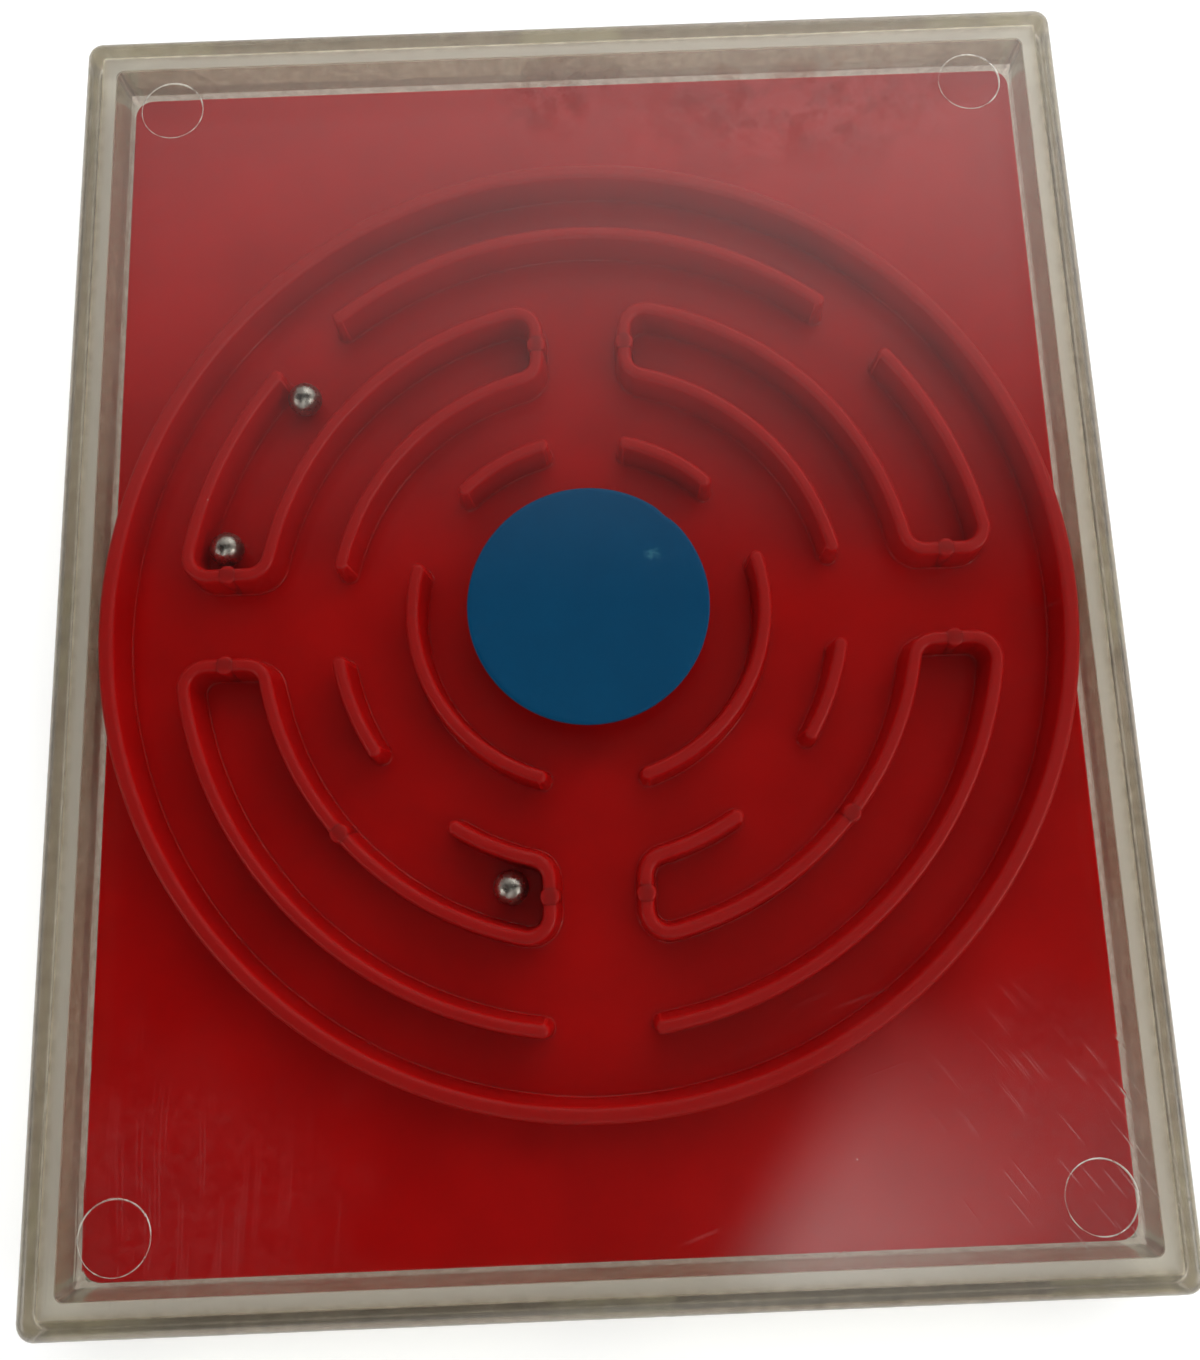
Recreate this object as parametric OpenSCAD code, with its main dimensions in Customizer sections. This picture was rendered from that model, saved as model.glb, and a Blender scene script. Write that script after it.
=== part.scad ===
// Handheld ball maze: a clear two-part case with a moulded maze plate,
// loose steel balls and a round goal disc under the lid.
// The case lies on its back: X across the width, Y along the length, Z up.
// The origin is the middle of the underside.

/* [Maze plate] */
// Width of the maze plate
plate_w = 90; // [70:0.5:120]
// Length of the maze plate
plate_l = 112.4; // [100:0.2:150]
// Thickness of the maze plate under the walls
plate_t = 1.8; // [1.2:0.1:3]
// Play between the maze plate and the tray wall, each side
plate_play = 0.2; // [0.1:0.05:0.6]
// Radius of the upright corners of the maze plate
plate_corner_r = 1.8; // [1:0.1:4]

/* [Maze walls] */
// How far the walls stand above a ball
wall_over_ball = 1; // [0.4:0.05:2]
// Thickness of an inner wall at its top
wall_top_w = 1.2; // [0.8:0.05:1.6]
// Thickness of the outer ring wall at its top
ring_top_w = 1.4; // [0.8:0.05:2]
// Draft of the wall sides, in degrees
wall_draft = 3; // [1:0.5:5]
// Chamfer along the top edges of the walls
wall_chamfer = 0.2; // [0.1:0.05:0.3]
// Margin from the outer ring wall to the long edges of the plate
ring_margin = 0.2; // [0.1:0.1:3]
// Pitch from ring 1, the outer one, to ring 2
pitch_1_2 = 6.6; // [6:0.05:7.5]
// Pitch from ring 2 to ring 3
pitch_2_3 = 7.4; // [6:0.05:8]
// Pitch from ring 3 to ring 4
pitch_3_4 = 6.75; // [6:0.05:7.5]
// Pitch from ring 4 to ring 5
pitch_4_5 = 7.05; // [6:0.05:7.5]
// Half width of the straight corridors, to the middle of their walls
corridor_half = 4.2; // [3.2:0.1:5]
// Radius of the rounded wall corners, to the middle of the wall
bend_r = 2; // [1.2:0.1:2.4]
// Diameter of the round ejector pads in the walls
pad_d = 1.75; // [1.7:0.05:2.2]
// How far the ejector pads stand above the walls
pad_step = 0.05; // [0.02:0.01:0.2]

/* [Wall ends, degrees from the X axis] */
// Free end of ring 2 in the upper quarters
ring_2_upper_end = 40; // [25:1:45]
// End of the top arc of ring 2
ring_2_top_arc = 51; // [48:1:70]
// Free end of ring 2 in the lower quarters
ring_2_lower_end = 83; // [60:1:86]
// Ejector pad on ring 3 in the lower quarters
ring_3_pad = 41; // [20:1:70]
// Free end of ring 4 in the upper quarters
ring_4_upper_end = 10.7; // [9:0.1:40]
// Free end of ring 4 in the lower quarters
ring_4_lower_end = 56; // [45:1:62]
// Inner end of the short arc of ring 4, below the X axis
ring_4_short_start = 9.5; // [8:0.5:16]
// Outer end of the short arc of ring 4, below the X axis
ring_4_short_end = 34; // [24:1:38]
// Lower end of the upper arc of ring 5
ring_5_upper_start = 44; // [36:1:52]
// Upper end of the upper arc of ring 5
ring_5_upper_end = 78; // [64:1:82]
// Upper end of the side arc of ring 5
ring_5_side_upper = 16.7; // [8:0.1:22]
// Lower end of the side arc of ring 5, below the X axis
ring_5_side_lower = 74.7; // [50:0.1:80]

/* [Steel balls] */
// Diameter of a ball
ball_d = 3.175; // [2.5:0.025:4]
// Clearance under a ball
ball_lift = 0.1; // [0.05:0.05:0.2]
// Gap from balls 1 and 2 to the outer wall of their channel
ball_outer_gap = 0.4; // [0.2:0.05:0.7]
// Gap from ball 3 to the inner wall of its channel
ball_inner_gap = 0.55; // [0.2:0.05:0.7]
// Place of ball 1 round the maze, degrees from the X axis
ball_1_angle = 140.5; // [100:0.5:145]
// Gap from ball 2 to the pad of its pocket
ball_2_gap = 0.65; // [0.2:0.05:3]
// Gap from ball 3 to the pad of its pocket
ball_3_gap = 1.1; // [0.2:0.05:3]

/* [Goal disc] */
// Diameter of the goal disc
disc_d = 22; // [14:0.5:26]
// Thickness of the goal disc
disc_t = 0.4; // [0.2:0.05:0.5]

/* [Case] */
// Thickness of the tray floor
floor_t = 1.5; // [1:0.1:3]
// Thickness of the tray wall
tray_wall_t = 1.25; // [0.8:0.05:2]
// Height of the tray's outer step, which carries the lid
step_h = 3; // [2:0.1:4]
// Gap of the lap joint between the tray wall and the lid skirt
lap_gap = 0.1; // [0.05:0.05:0.3]
// Thickness of the lid skirt
skirt_t = 1.5; // [1:0.1:2.4]
// Thickness of the lid
lid_t = 1.6; // [1.2:0.1:3]
// Gap between the maze walls and the lid
lid_gap = 0.6; // [0.55:0.05:1.5]
// Gap between the tray rim and the lid
rim_gap = 0.1; // [0.05:0.05:0.3]
// Radius of the upright corners of the case
corner_r = 1.6; // [1.5:0.1:6]
// Radius of the top and bottom edges of the case
edge_r = 1.2; // [0.4:0.1:1.4]
// Radius of the upright corners inside the tray
inner_corner_r = 0.8; // [0.4:0.1:1.5]

/* [Moulding marks] */
// Diameter of the ejector pin marks under the lid
mark_d = 6; // [3:0.1:8]
// Depth of the ejector pin marks
mark_depth = 0.12; // [0.05:0.01:0.3]
// Distance from the lid skirt to the middle of a mark
mark_inset = 6.1; // [5:0.1:9]
// How much further in from the long sides the two upper marks are
upper_mark_step = 1; // [0:0.1:2]

/* [Cement] */
// Thickness of the cement in the seam between tray and lid
seam_t = 0.15; // [0.1:0.05:0.4]
// Length of a cement dab at the middle of a side
side_dab_l = 10.5; // [4:0.5:16]
// Length of each arm of a cement dab at a corner
corner_dab_l = 10; // [6:0.5:12]
// How far the cement stays inside the outer face
dab_inset = 0.15; // [0.05:0.05:0.4]
// How far the cement has crept up the lap joint
creep_h = 4; // [1:0.1:4.5]

/* [Hidden] */
$fn = 96;
// Bends are this much slimmer than the walls that they join
join_step = 0.02;
// Angle by which a bend runs into the walls at its ends
bend_lap = 3;
// Least radius of the upright corners in the lap joint
least_r = 0.3;

ball_r = ball_d / 2;
wall_h = ball_d + wall_over_ball;

// Half thickness of an inner wall at a height above the plate
function wall_half(top_w, z) = top_w / 2 + (wall_h - z) * tan(wall_draft);

// Ring radii, to the middle of the wall
ring_1 = plate_w / 2 - ring_margin - wall_half(ring_top_w, 0);
ring_2 = ring_1 - pitch_1_2;
ring_3 = ring_2 - pitch_2_3;
ring_4 = ring_3 - pitch_3_4;
ring_5 = ring_4 - pitch_4_5;

// Levels above the underside
plate_z = floor_t + plate_t;
lid_under_z = plate_z + wall_h + lid_gap;
rim_z = lid_under_z - rim_gap;
case_h = lid_under_z + lid_t;
skirt_z = step_h + seam_t;
ball_z = plate_z + ball_lift + ball_r;

// Outlines, from the maze plate outwards
tray_in = [plate_w, plate_l] + 2 * plate_play * [1, 1];
tray_out = tray_in + 2 * tray_wall_t * [1, 1];
skirt_in = tray_out + 2 * lap_gap * [1, 1];
case_out = skirt_in + 2 * skirt_t * [1, 1];
skirt_in_r = max(corner_r - skirt_t, least_r);
tray_out_r = max(skirt_in_r - lap_gap, least_r);
plate_r = max(plate_corner_r, inner_corner_r);

// A pocket end is a straight wall beside a corridor with a bend to the ring at each side.
// Bend centres and the angles where the bends meet the outer and the inner ring:
bend_y = corridor_half + bend_r;
function outer_bend_x(r) = sqrt(pow(r - bend_r, 2) - pow(bend_y, 2));
function inner_bend_x(r) = sqrt(pow(r + bend_r, 2) - pow(bend_y, 2));
function outer_bend_a(r) = atan2(bend_y, outer_bend_x(r));
function inner_bend_a(r) = atan2(bend_y, inner_bend_x(r));

// Ball places, at the height of a ball's middle
wall_half_at_ball = wall_half(wall_top_w, ball_lift + ball_r);
outer_run = ring_2 - wall_half_at_ball - ball_r - ball_outer_gap;
inner_run = ring_4 + wall_half_at_ball + ball_r + ball_inner_gap;
pocket_stop = corridor_half + pad_d / 2 + ball_r;
ball_2_angle = 180 - asin((pocket_stop + ball_2_gap) / outer_run);
ball_3_angle = 270 - asin((pocket_stop + ball_3_gap) / inner_run);

clear_plastic = [0.80, 0.81, 0.76, 0.35];
maze_red = [0.62, 0.05, 0.06];
disc_blue = [0.05, 0.27, 0.40];
ball_steel = [0.75, 0.76, 0.78];
cement_amber = [0.72, 0.66, 0.42, 0.8];

function polar(r, a) = [r * cos(a), r * sin(a), 0];

// Rectangle with round corners
module rounded_rect(size, r) {
    square([size.x - 2 * r, size.y], center = true);
    square([size.x, size.y - 2 * r], center = true);
    for (x = [-1, 1], y = [-1, 1])
        translate([x * (size.x / 2 - r), y * (size.y / 2 - r)])
            circle(r);
}

// Prism with round upright corners
module rounded_prism(size, r, h) {
    linear_extrude(h)
        rounded_rect(size, r);
}

// Half outline of a block with a rounded top edge
module edge_profile(half_w, h, r) {
    square([half_w, h - r]);
    square([half_w - r, h]);
    translate([half_w - r, h - r])
        circle(r);
}

// Block with round upright corners and a rounded top edge
module rounded_block(size, h, r_corner, r_edge) {
    straight_x = size.x - 2 * r_corner;
    straight_y = size.y - 2 * r_corner;
    for (side = [0, 1])
        mirror([side, 0, 0])
            rotate([90, 0, 0])
                linear_extrude(straight_y, center = true)
                    edge_profile(size.x / 2, h, r_edge);
    for (side = [0, 1])
        mirror([0, side, 0])
            rotate([90, 0, 90])
                linear_extrude(straight_x, center = true)
                    edge_profile(size.y / 2, h, r_edge);
    for (x = [-1, 1], y = [-1, 1])
        translate([x * straight_x / 2, y * straight_y / 2, 0])
            rotate_extrude()
                intersection() {
                    edge_profile(r_corner, h, r_edge);
                    square([r_corner, h]);
                }
}

// Corners of a maze wall's right side, from the plate up
function wall_side(top_w, slim) = [
    [wall_half(top_w, 0) - slim, 0],
    [wall_half(top_w, wall_h - wall_chamfer) - slim, wall_h - wall_chamfer],
    [top_w / 2 - wall_chamfer - slim, wall_h]
];

// Section of a maze wall
module wall_section(top_w, slim = 0) {
    right = wall_side(top_w, slim);
    left = [for (i = [len(right) - 1 : -1 : 0]) [-right[i].x, right[i].y]];
    polygon(concat(right, left));
}

// Wall along part of a circle
module wall_arc(r, start, end) {
    rotate([0, 0, start])
        rotate_extrude(angle = end - start)
            translate([r, 0])
                wall_section(wall_top_w);
}

// Round bend that laps into the walls at both its ends
module wall_bend(start, end) {
    rotate([0, 0, start - bend_lap])
        rotate_extrude(angle = end - start + 2 * bend_lap)
            translate([bend_r, 0])
                wall_section(wall_top_w, join_step);
}

// Round ejector pad in a wall
module wall_pad() {
    cylinder(d = pad_d, h = wall_h + pad_step);
}

// End of a pocket between two rings, beside the corridor along +X
module pocket_end(r_out, r_in) {
    outer_x = outer_bend_x(r_out);
    inner_x = inner_bend_x(r_in);
    translate([outer_x, bend_y, 0])
        wall_bend(-90, outer_bend_a(r_out));
    translate([inner_x, bend_y, 0])
        wall_bend(180 + inner_bend_a(r_in), 270);
    translate([inner_x, corridor_half, 0])
        rotate([90, 0, 90])
            linear_extrude(outer_x - inner_x)
                wall_section(wall_top_w);
    translate([(outer_x + inner_x) / 2, corridor_half, 0])
        wall_pad();
}

// The long wall of one quarter: ring 2, a pocket end, ring 3, a pocket end and ring 4
module quarter_wall(ring_2_end, ring_4_end) {
    wall_arc(ring_2, outer_bend_a(ring_2), ring_2_end);
    pocket_end(ring_2, ring_3);
    wall_arc(ring_3, inner_bend_a(ring_3), 90 - outer_bend_a(ring_3));
    mirror([1, -1, 0])
        pocket_end(ring_3, ring_4);
    wall_arc(ring_4, ring_4_end, 90 - inner_bend_a(ring_4));
}

// Places walls on top of the plate, in the plate's colour
module on_plate() {
    color(maze_red)
        translate([0, 0, plate_z])
            children();
}

// Both a shape and its mirror image across the middle of the maze
module both_sides() {
    for (side = [0, 1])
        mirror([side, 0, 0])
            children();
}

module maze_plate() {
    color(maze_red)
        translate([0, 0, floor_t])
            rounded_prism([plate_w, plate_l], plate_r, plate_t);
}

module outer_ring_wall() {
    on_plate()
        rotate_extrude()
            translate([ring_1, 0])
                wall_section(ring_top_w);
}

module top_arc_wall() {
    on_plate()
        wall_arc(ring_2, ring_2_top_arc, 180 - ring_2_top_arc);
}

module upper_right_wall() {
    on_plate()
        quarter_wall(ring_2_upper_end, ring_4_upper_end);
}

module upper_left_wall() {
    mirror([1, 0, 0])
        upper_right_wall();
}

module lower_right_wall() {
    on_plate()
        mirror([0, 1, 0]) {
            quarter_wall(ring_2_lower_end, ring_4_lower_end);
            translate(polar(ring_3, ring_3_pad))
                wall_pad();
        }
}

module lower_left_wall() {
    mirror([1, 0, 0])
        lower_right_wall();
}

module short_arc_walls() {
    on_plate()
        both_sides()
            wall_arc(ring_4, -ring_4_short_end, -ring_4_short_start);
}

module goal_ring_walls() {
    on_plate()
        both_sides() {
            wall_arc(ring_5, ring_5_upper_start, ring_5_upper_end);
            wall_arc(ring_5, -ring_5_side_lower, ring_5_side_upper);
        }
}

module base_tray() {
    color(clear_plastic)
        difference() {
            union() {
                translate([0, 0, step_h])
                    mirror([0, 0, 1])
                        rounded_block(case_out, step_h, corner_r, edge_r);
                rounded_prism(tray_out, tray_out_r, rim_z);
            }
            translate([0, 0, floor_t])
                rounded_prism(tray_in, inner_corner_r, case_h);
        }
}

// Distance of the upper marks, y = 1, and the lower ones, y = -1, from the middle
function mark_x(y) = skirt_in.x / 2 - mark_inset - (y > 0 ? upper_mark_step : 0);

module lid() {
    color(clear_plastic)
        difference() {
            translate([0, 0, skirt_z])
                rounded_block(case_out, case_h - skirt_z, corner_r, edge_r);
            translate([0, 0, skirt_z - 1])
                rounded_prism(skirt_in, skirt_in_r, lid_under_z - skirt_z + 1);
            for (x = [-1, 1], y = [-1, 1])
                translate([x * mark_x(y), y * (skirt_in.y / 2 - mark_inset), lid_under_z - 1])
                    cylinder(d = mark_d, h = 1 + mark_depth);
        }
}

module goal_disc() {
    color(disc_blue)
        translate([0, 0, lid_under_z - disc_t])
            cylinder(d = disc_d, h = disc_t);
}

// A ball in its channel
module steel_ball(run, a) {
    color(ball_steel)
        translate(polar(run, a) + [0, 0, ball_z])
            sphere(ball_r);
}

module steel_ball_1() {
    steel_ball(outer_run, ball_1_angle);
}

module steel_ball_2() {
    steel_ball(outer_run, ball_2_angle);
}

module steel_ball_3() {
    steel_ball(inner_run, ball_3_angle);
}

// Cement film all round the seam between the step and the skirt, to the middle of the lap joint
module seam_film() {
    linear_extrude(seam_t)
        difference() {
            rounded_rect(case_out - 2 * dab_inset * [1, 1], corner_r - dab_inset);
            rounded_rect(tray_out + lap_gap * [1, 1], tray_out_r + lap_gap / 2);
        }
}

// Cement film all round the lap joint between the tray wall and the skirt
module lap_film() {
    linear_extrude(creep_h)
        difference() {
            rounded_rect(skirt_in, skirt_in_r);
            rounded_rect(tray_out, tray_out_r);
        }
}

// Blocks that cut the dabs at the middle of the sides out of a film
module side_cuts() {
    cube([side_dab_l, 2 * case_out.y, 2 * case_h], center = true);
    cube([2 * case_out.x, side_dab_l, 2 * case_h], center = true);
}

// Square blocks round the upright corners of the case
module corner_cuts(half_w) {
    for (x = [-1, 1], y = [-1, 1])
        translate([x * case_out.x / 2, y * case_out.y / 2, 0])
            cube([2 * half_w, 2 * half_w, 2 * case_h], center = true);
}

module side_cement() {
    color(cement_amber)
        translate([0, 0, step_h])
            intersection() {
                union() {
                    seam_film();
                    lap_film();
                }
                side_cuts();
            }
}

module corner_cement() {
    color(cement_amber)
        translate([0, 0, step_h])
            intersection() {
                union() {
                    seam_film();
                    difference() {
                        lap_film();
                        corner_cuts(corner_r);
                    }
                }
                corner_cuts(corner_dab_l);
            }
}

base_tray();
maze_plate();
outer_ring_wall();
top_arc_wall();
upper_left_wall();
upper_right_wall();
lower_left_wall();
lower_right_wall();
short_arc_walls();
goal_ring_walls();
steel_ball_1();
steel_ball_2();
steel_ball_3();
goal_disc();
lid();
side_cement();
corner_cement();
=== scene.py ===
import math
import random

import bmesh
import bpy
from mathutils import Euler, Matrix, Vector


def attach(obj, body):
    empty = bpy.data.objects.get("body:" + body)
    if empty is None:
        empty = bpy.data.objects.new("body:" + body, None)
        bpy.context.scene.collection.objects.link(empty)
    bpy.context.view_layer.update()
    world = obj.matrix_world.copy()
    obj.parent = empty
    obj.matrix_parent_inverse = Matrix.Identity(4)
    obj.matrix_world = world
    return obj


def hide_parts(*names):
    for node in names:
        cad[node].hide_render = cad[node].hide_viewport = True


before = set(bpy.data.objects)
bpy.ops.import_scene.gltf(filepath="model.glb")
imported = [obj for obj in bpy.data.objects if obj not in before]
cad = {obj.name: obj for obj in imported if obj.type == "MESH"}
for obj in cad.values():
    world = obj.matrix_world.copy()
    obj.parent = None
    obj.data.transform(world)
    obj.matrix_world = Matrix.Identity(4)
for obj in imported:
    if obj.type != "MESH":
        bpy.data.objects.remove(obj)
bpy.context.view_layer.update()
scene = bpy.context.scene
scene.view_settings.view_transform = "Standard"
mm = 0.001
print("frame loaded,", len(cad), "nodes")


# camera, as the photo was taken: close above the lid, leaning in from the near short side

cameraSetup = {
    "place": (2.957, -26.862, 123.422),   # mm
    "turn": (12.580, 0.186, -2.251),      # degrees
    "lens": 34.48, "sensor": 36,          # mm, the sensor's height
    "shift": (-0.0210, -0.0473),
    "clip": (0.005, 20),                  # metres
}


def makeCamera(setup):
    data = bpy.data.cameras.new("tableCamera")
    data.sensor_fit = "VERTICAL"
    data.sensor_height = setup["sensor"]
    data.lens = setup["lens"]
    data.shift_x, data.shift_y = setup["shift"]
    data.clip_start, data.clip_end = setup["clip"]
    camera = bpy.data.objects.new("tableCamera", data)
    camera.location = Vector(setup["place"]) * mm
    camera.rotation_euler = Euler([math.radians(a) for a in setup["turn"]])
    scene.collection.objects.link(camera)
    scene.camera = camera


makeCamera(cameraSetup)
print("camera placed")


# node helpers

def setInput(tree, socket, value):
    if isinstance(value, bpy.types.NodeSocket):
        tree.links.new(value, socket)
    else:
        socket.default_value = value


def addNode(tree, kind, ins=None, **props):
    made = tree.nodes.new(kind)
    for key, value in props.items():
        setattr(made, key, value)
    for key, value in (ins or {}).items():
        setInput(tree, made.inputs[key], value)
    return made


def mathNode(tree, operation, a, b=0.0, clamp=False):
    made = addNode(tree, "ShaderNodeMath", {0: a, 1: b}, operation=operation, use_clamp=clamp)
    return made.outputs[0]


def vectorNode(tree, operation, a, b=None, scale=None):
    given = {0: a, 1: b, "Scale": scale}
    given = {key: value for key, value in given.items() if value is not None}
    made = addNode(tree, "ShaderNodeVectorMath", given, operation=operation)
    return made.outputs["Value" if operation == "LENGTH" else "Vector"]


def splitNode(tree, vector):
    return addNode(tree, "ShaderNodeSeparateXYZ", {0: vector}).outputs


def rampNode(tree, value, low, high, outLow=0.0, outHigh=1.0):
    made = addNode(tree, "ShaderNodeMapRange", {0: value, 1: low, 2: high, 3: outLow, 4: outHigh},
                   interpolation_type="SMOOTHSTEP")
    return made.outputs[0]


def between(tree, factor, low, high):
    return rampNode(tree, factor, 0.0, 1.0, low, high)


def fadeNode(tree, value, reach):         # straight, from 1 down to 0
    made = addNode(tree, "ShaderNodeMapRange", {0: value, 1: 0.0, 2: reach, 3: 1.0, 4: 0.0})
    return made.outputs[0]


def blendColours(tree, factor, a, b):
    made = addNode(tree, "ShaderNodeMix", data_type="RGBA")
    for name, value in (("Factor_Float", factor), ("A_Color", a), ("B_Color", b)):
        setInput(tree, next(s for s in made.inputs if s.identifier == name), value)
    return next(s for s in made.outputs if s.identifier == "Result_Color")


def bumpNode(tree, height, strength, depth):
    made = addNode(tree, "ShaderNodeBump", {
        "Height": height, "Strength": strength, "Distance": depth * mm})
    return made.outputs[0]


def newGroup(name, inputs, output):
    tree = bpy.data.node_groups.new(name, "ShaderNodeTree")
    for socketName, value in inputs.items():
        kind = "NodeSocketVector" if value is None else "NodeSocketFloat"    # only vectors start empty
        socket = tree.interface.new_socket(name=socketName, in_out="INPUT", socket_type=kind)
        if value is not None:
            socket.default_value = value
    tree.interface.new_socket(name=output, in_out="OUTPUT", socket_type="NodeSocketFloat")
    return tree, tree.nodes.new("NodeGroupInput").outputs, tree.nodes.new("NodeGroupOutput").inputs


def fillGroup(tree, group, **ins):
    return addNode(tree, "ShaderNodeGroup", ins, node_tree=group).outputs[0]


def newMaterial(name):
    material = bpy.data.materials.new(name)
    material.use_nodes = True
    material.node_tree.nodes.clear()
    return material, material.node_tree


def finishMaterial(material, tree, shader):
    out = addNode(tree, "ShaderNodeOutputMaterial")
    tree.links.new(shader.outputs[0], out.inputs[0])
    return material


def millimetres(tree):
    where = addNode(tree, "ShaderNodeTexCoord").outputs["Object"]
    return vectorNode(tree, "SCALE", where, scale=1 / mm)


# shared effects, with places and sizes in millimetres

def makeMottle():
    tree, start, end = newGroup("softMottle", {"Place": None, "Size": 8.0, "Detail": 4.0}, "Value")
    noise = addNode(tree, "ShaderNodeTexNoise", {
        "Vector": start["Place"], "Scale": mathNode(tree, "DIVIDE", 1.0, start["Size"]),
        "Detail": start["Detail"], "Roughness": 0.55})
    contrast = (0.3, 0.7)
    tree.links.new(rampNode(tree, noise.outputs["Fac"], *contrast), end["Value"])
    return tree


def keptCells(tree, cells, share):
    pick = addNode(tree, "ShaderNodeSeparateColor", {0: cells.outputs["Color"]})
    return mathNode(tree, "LESS_THAN", pick.outputs[0], share)


def makeSpecks():
    tree, start, end = newGroup(
        "looseSpecks", {"Place": None, "Spacing": 6.0, "Size": 0.15, "Share": 0.4}, "Mask")
    bend, sharpness = 0.18, (0.1, 0.6)        # how far an outline is bent, and how it fades
    scale = mathNode(tree, "DIVIDE", 1.0, start["Spacing"])
    noise = addNode(tree, "ShaderNodeTexNoise", {"Vector": start["Place"], "Scale": 2.5, "Detail": 2.0})
    bent = vectorNode(tree, "SCALE", noise.outputs["Color"], scale=bend)
    cells = addNode(tree, "ShaderNodeTexVoronoi", {
        "Vector": vectorNode(tree, "ADD", start["Place"], bent), "Scale": scale})
    dot = fadeNode(tree, cells.outputs["Distance"], mathNode(tree, "MULTIPLY", start["Size"], scale))
    kept = keptCells(tree, cells, start["Share"])
    tree.links.new(mathNode(tree, "MULTIPLY", rampNode(tree, dot, *sharpness), kept), end["Mask"])
    return tree


def makeScratches():
    tree, start, end = newGroup("hairScratches", {
        "Place": None, "Angle": 0.0, "Spacing": 1.2, "Length": 18.0, "Width": 0.04, "Share": 0.3}, "Mask")
    drift, fading = 4.0, (0.1, 0.5)           # how far a line wanders, and where it fades out
    turned = addNode(tree, "ShaderNodeVectorRotate", {
        "Vector": start["Place"], "Angle": start["Angle"]}, rotation_type="Z_AXIS").outputs[0]
    wave = addNode(tree, "ShaderNodeTexNoise", {"Vector": turned, "Scale": 0.04, "Detail": 1.0})
    x, y, _ = splitNode(tree, turned)
    wandered = mathNode(tree, "ADD", x, mathNode(tree, "MULTIPLY", wave.outputs["Fac"], drift))
    across = mathNode(tree, "DIVIDE", wandered, start["Spacing"])
    along = mathNode(tree, "DIVIDE", y, start["Length"])
    stretched = addNode(tree, "ShaderNodeCombineXYZ", {0: across, 1: along, 2: 0.0})
    cells = addNode(tree, "ShaderNodeTexVoronoi", {"Vector": stretched.outputs[0], "Scale": 1.0},
                    voronoi_dimensions="2D")
    middleX, middleY, _ = splitNode(tree, cells.outputs["Position"])
    off = mathNode(tree, "ABSOLUTE", mathNode(tree, "SUBTRACT", across, middleX))
    thin = fadeNode(tree, mathNode(tree, "MULTIPLY", off, start["Spacing"]), start["Width"])
    run = mathNode(tree, "ABSOLUTE", mathNode(tree, "SUBTRACT", along, middleY))
    line = mathNode(tree, "MULTIPLY", thin, rampNode(tree, run, *fading, 1.0, 0.0))
    kept = keptCells(tree, cells, start["Share"])
    tree.links.new(mathNode(tree, "MULTIPLY", line, kept), end["Mask"])
    return tree


def makePatch():
    tree, start, end = newGroup(
        "softPatch", {"Place": None, "Middle": None, "Reach": None, "Ragged": 0.5}, "Mask")
    fading = (0.2, 1.0)                       # share of the reach
    off = vectorNode(tree, "SUBTRACT", start["Place"], start["Middle"])
    far = vectorNode(tree, "LENGTH", vectorNode(tree, "DIVIDE", off, start["Reach"]))
    noise = addNode(tree, "ShaderNodeTexNoise", {"Vector": start["Place"], "Scale": 0.22, "Detail": 5.0})
    uneven = mathNode(tree, "SUBTRACT", noise.outputs["Fac"], 0.5)
    shifted = mathNode(tree, "ADD", far, mathNode(tree, "MULTIPLY", uneven, start["Ragged"]))
    tree.links.new(rampNode(tree, shifted, *fading, 1.0, 0.0), end["Mask"])
    return tree


softMottle = makeMottle()
looseSpecks = makeSpecks()
hairScratches = makeScratches()
softPatch = makePatch()
print("shared effects built")


def mottleNode(tree, place, mottle):
    size, detail = mottle
    return fillGroup(tree, softMottle, Place=place, Size=size, Detail=detail)


def specksNode(tree, place, specks):
    spacing, size, share = specks
    return fillGroup(tree, looseSpecks, Place=place, Spacing=spacing, Size=size, Share=share)


def patchNode(tree, place, middle, reach, ragged):
    return fillGroup(tree, softPatch, Place=place, Middle=middle, Reach=reach, Ragged=ragged)


# materials; a mottle is its size in mm and its detail, a relief its strength and its depth in mm

redLook = {
    "deep": (0.39, 0.0012, 0.0016, 1),
    "bright": (0.45, 0.0022, 0.0024, 1),
    "shadedTop": (0.35, 0.003, 0.003, 1),      # tops of the walls, painted darker as shade
    "speck": (0.62, 0.34, 0.30, 1),
    "gloss": (0.19, 0.36),                # roughness on the floor and on the walls
    "wallFoot": 3.3, "wallTop": 7.475,    # mm above the underside
    "footBand": (0.005, 0.12), "topBand": (0.35, 0.05),    # mm above the foot, mm below the top
    "mottle": (9.0, 4.0), "grain": (0.6, 3.0),
    "grainOnShadedTop": (0.75, 1.0), "grainOnGloss": (0.8, 1.0),
    "specks": (7.0, 0.14, 0.16),          # spacing and size in mm, share
    "relief": (0.08, 0.05),
    "spread": (1.0, 0.15, 0.1), "spreadScale": 1.2,    # light inside the plastic, mm
}


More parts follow.
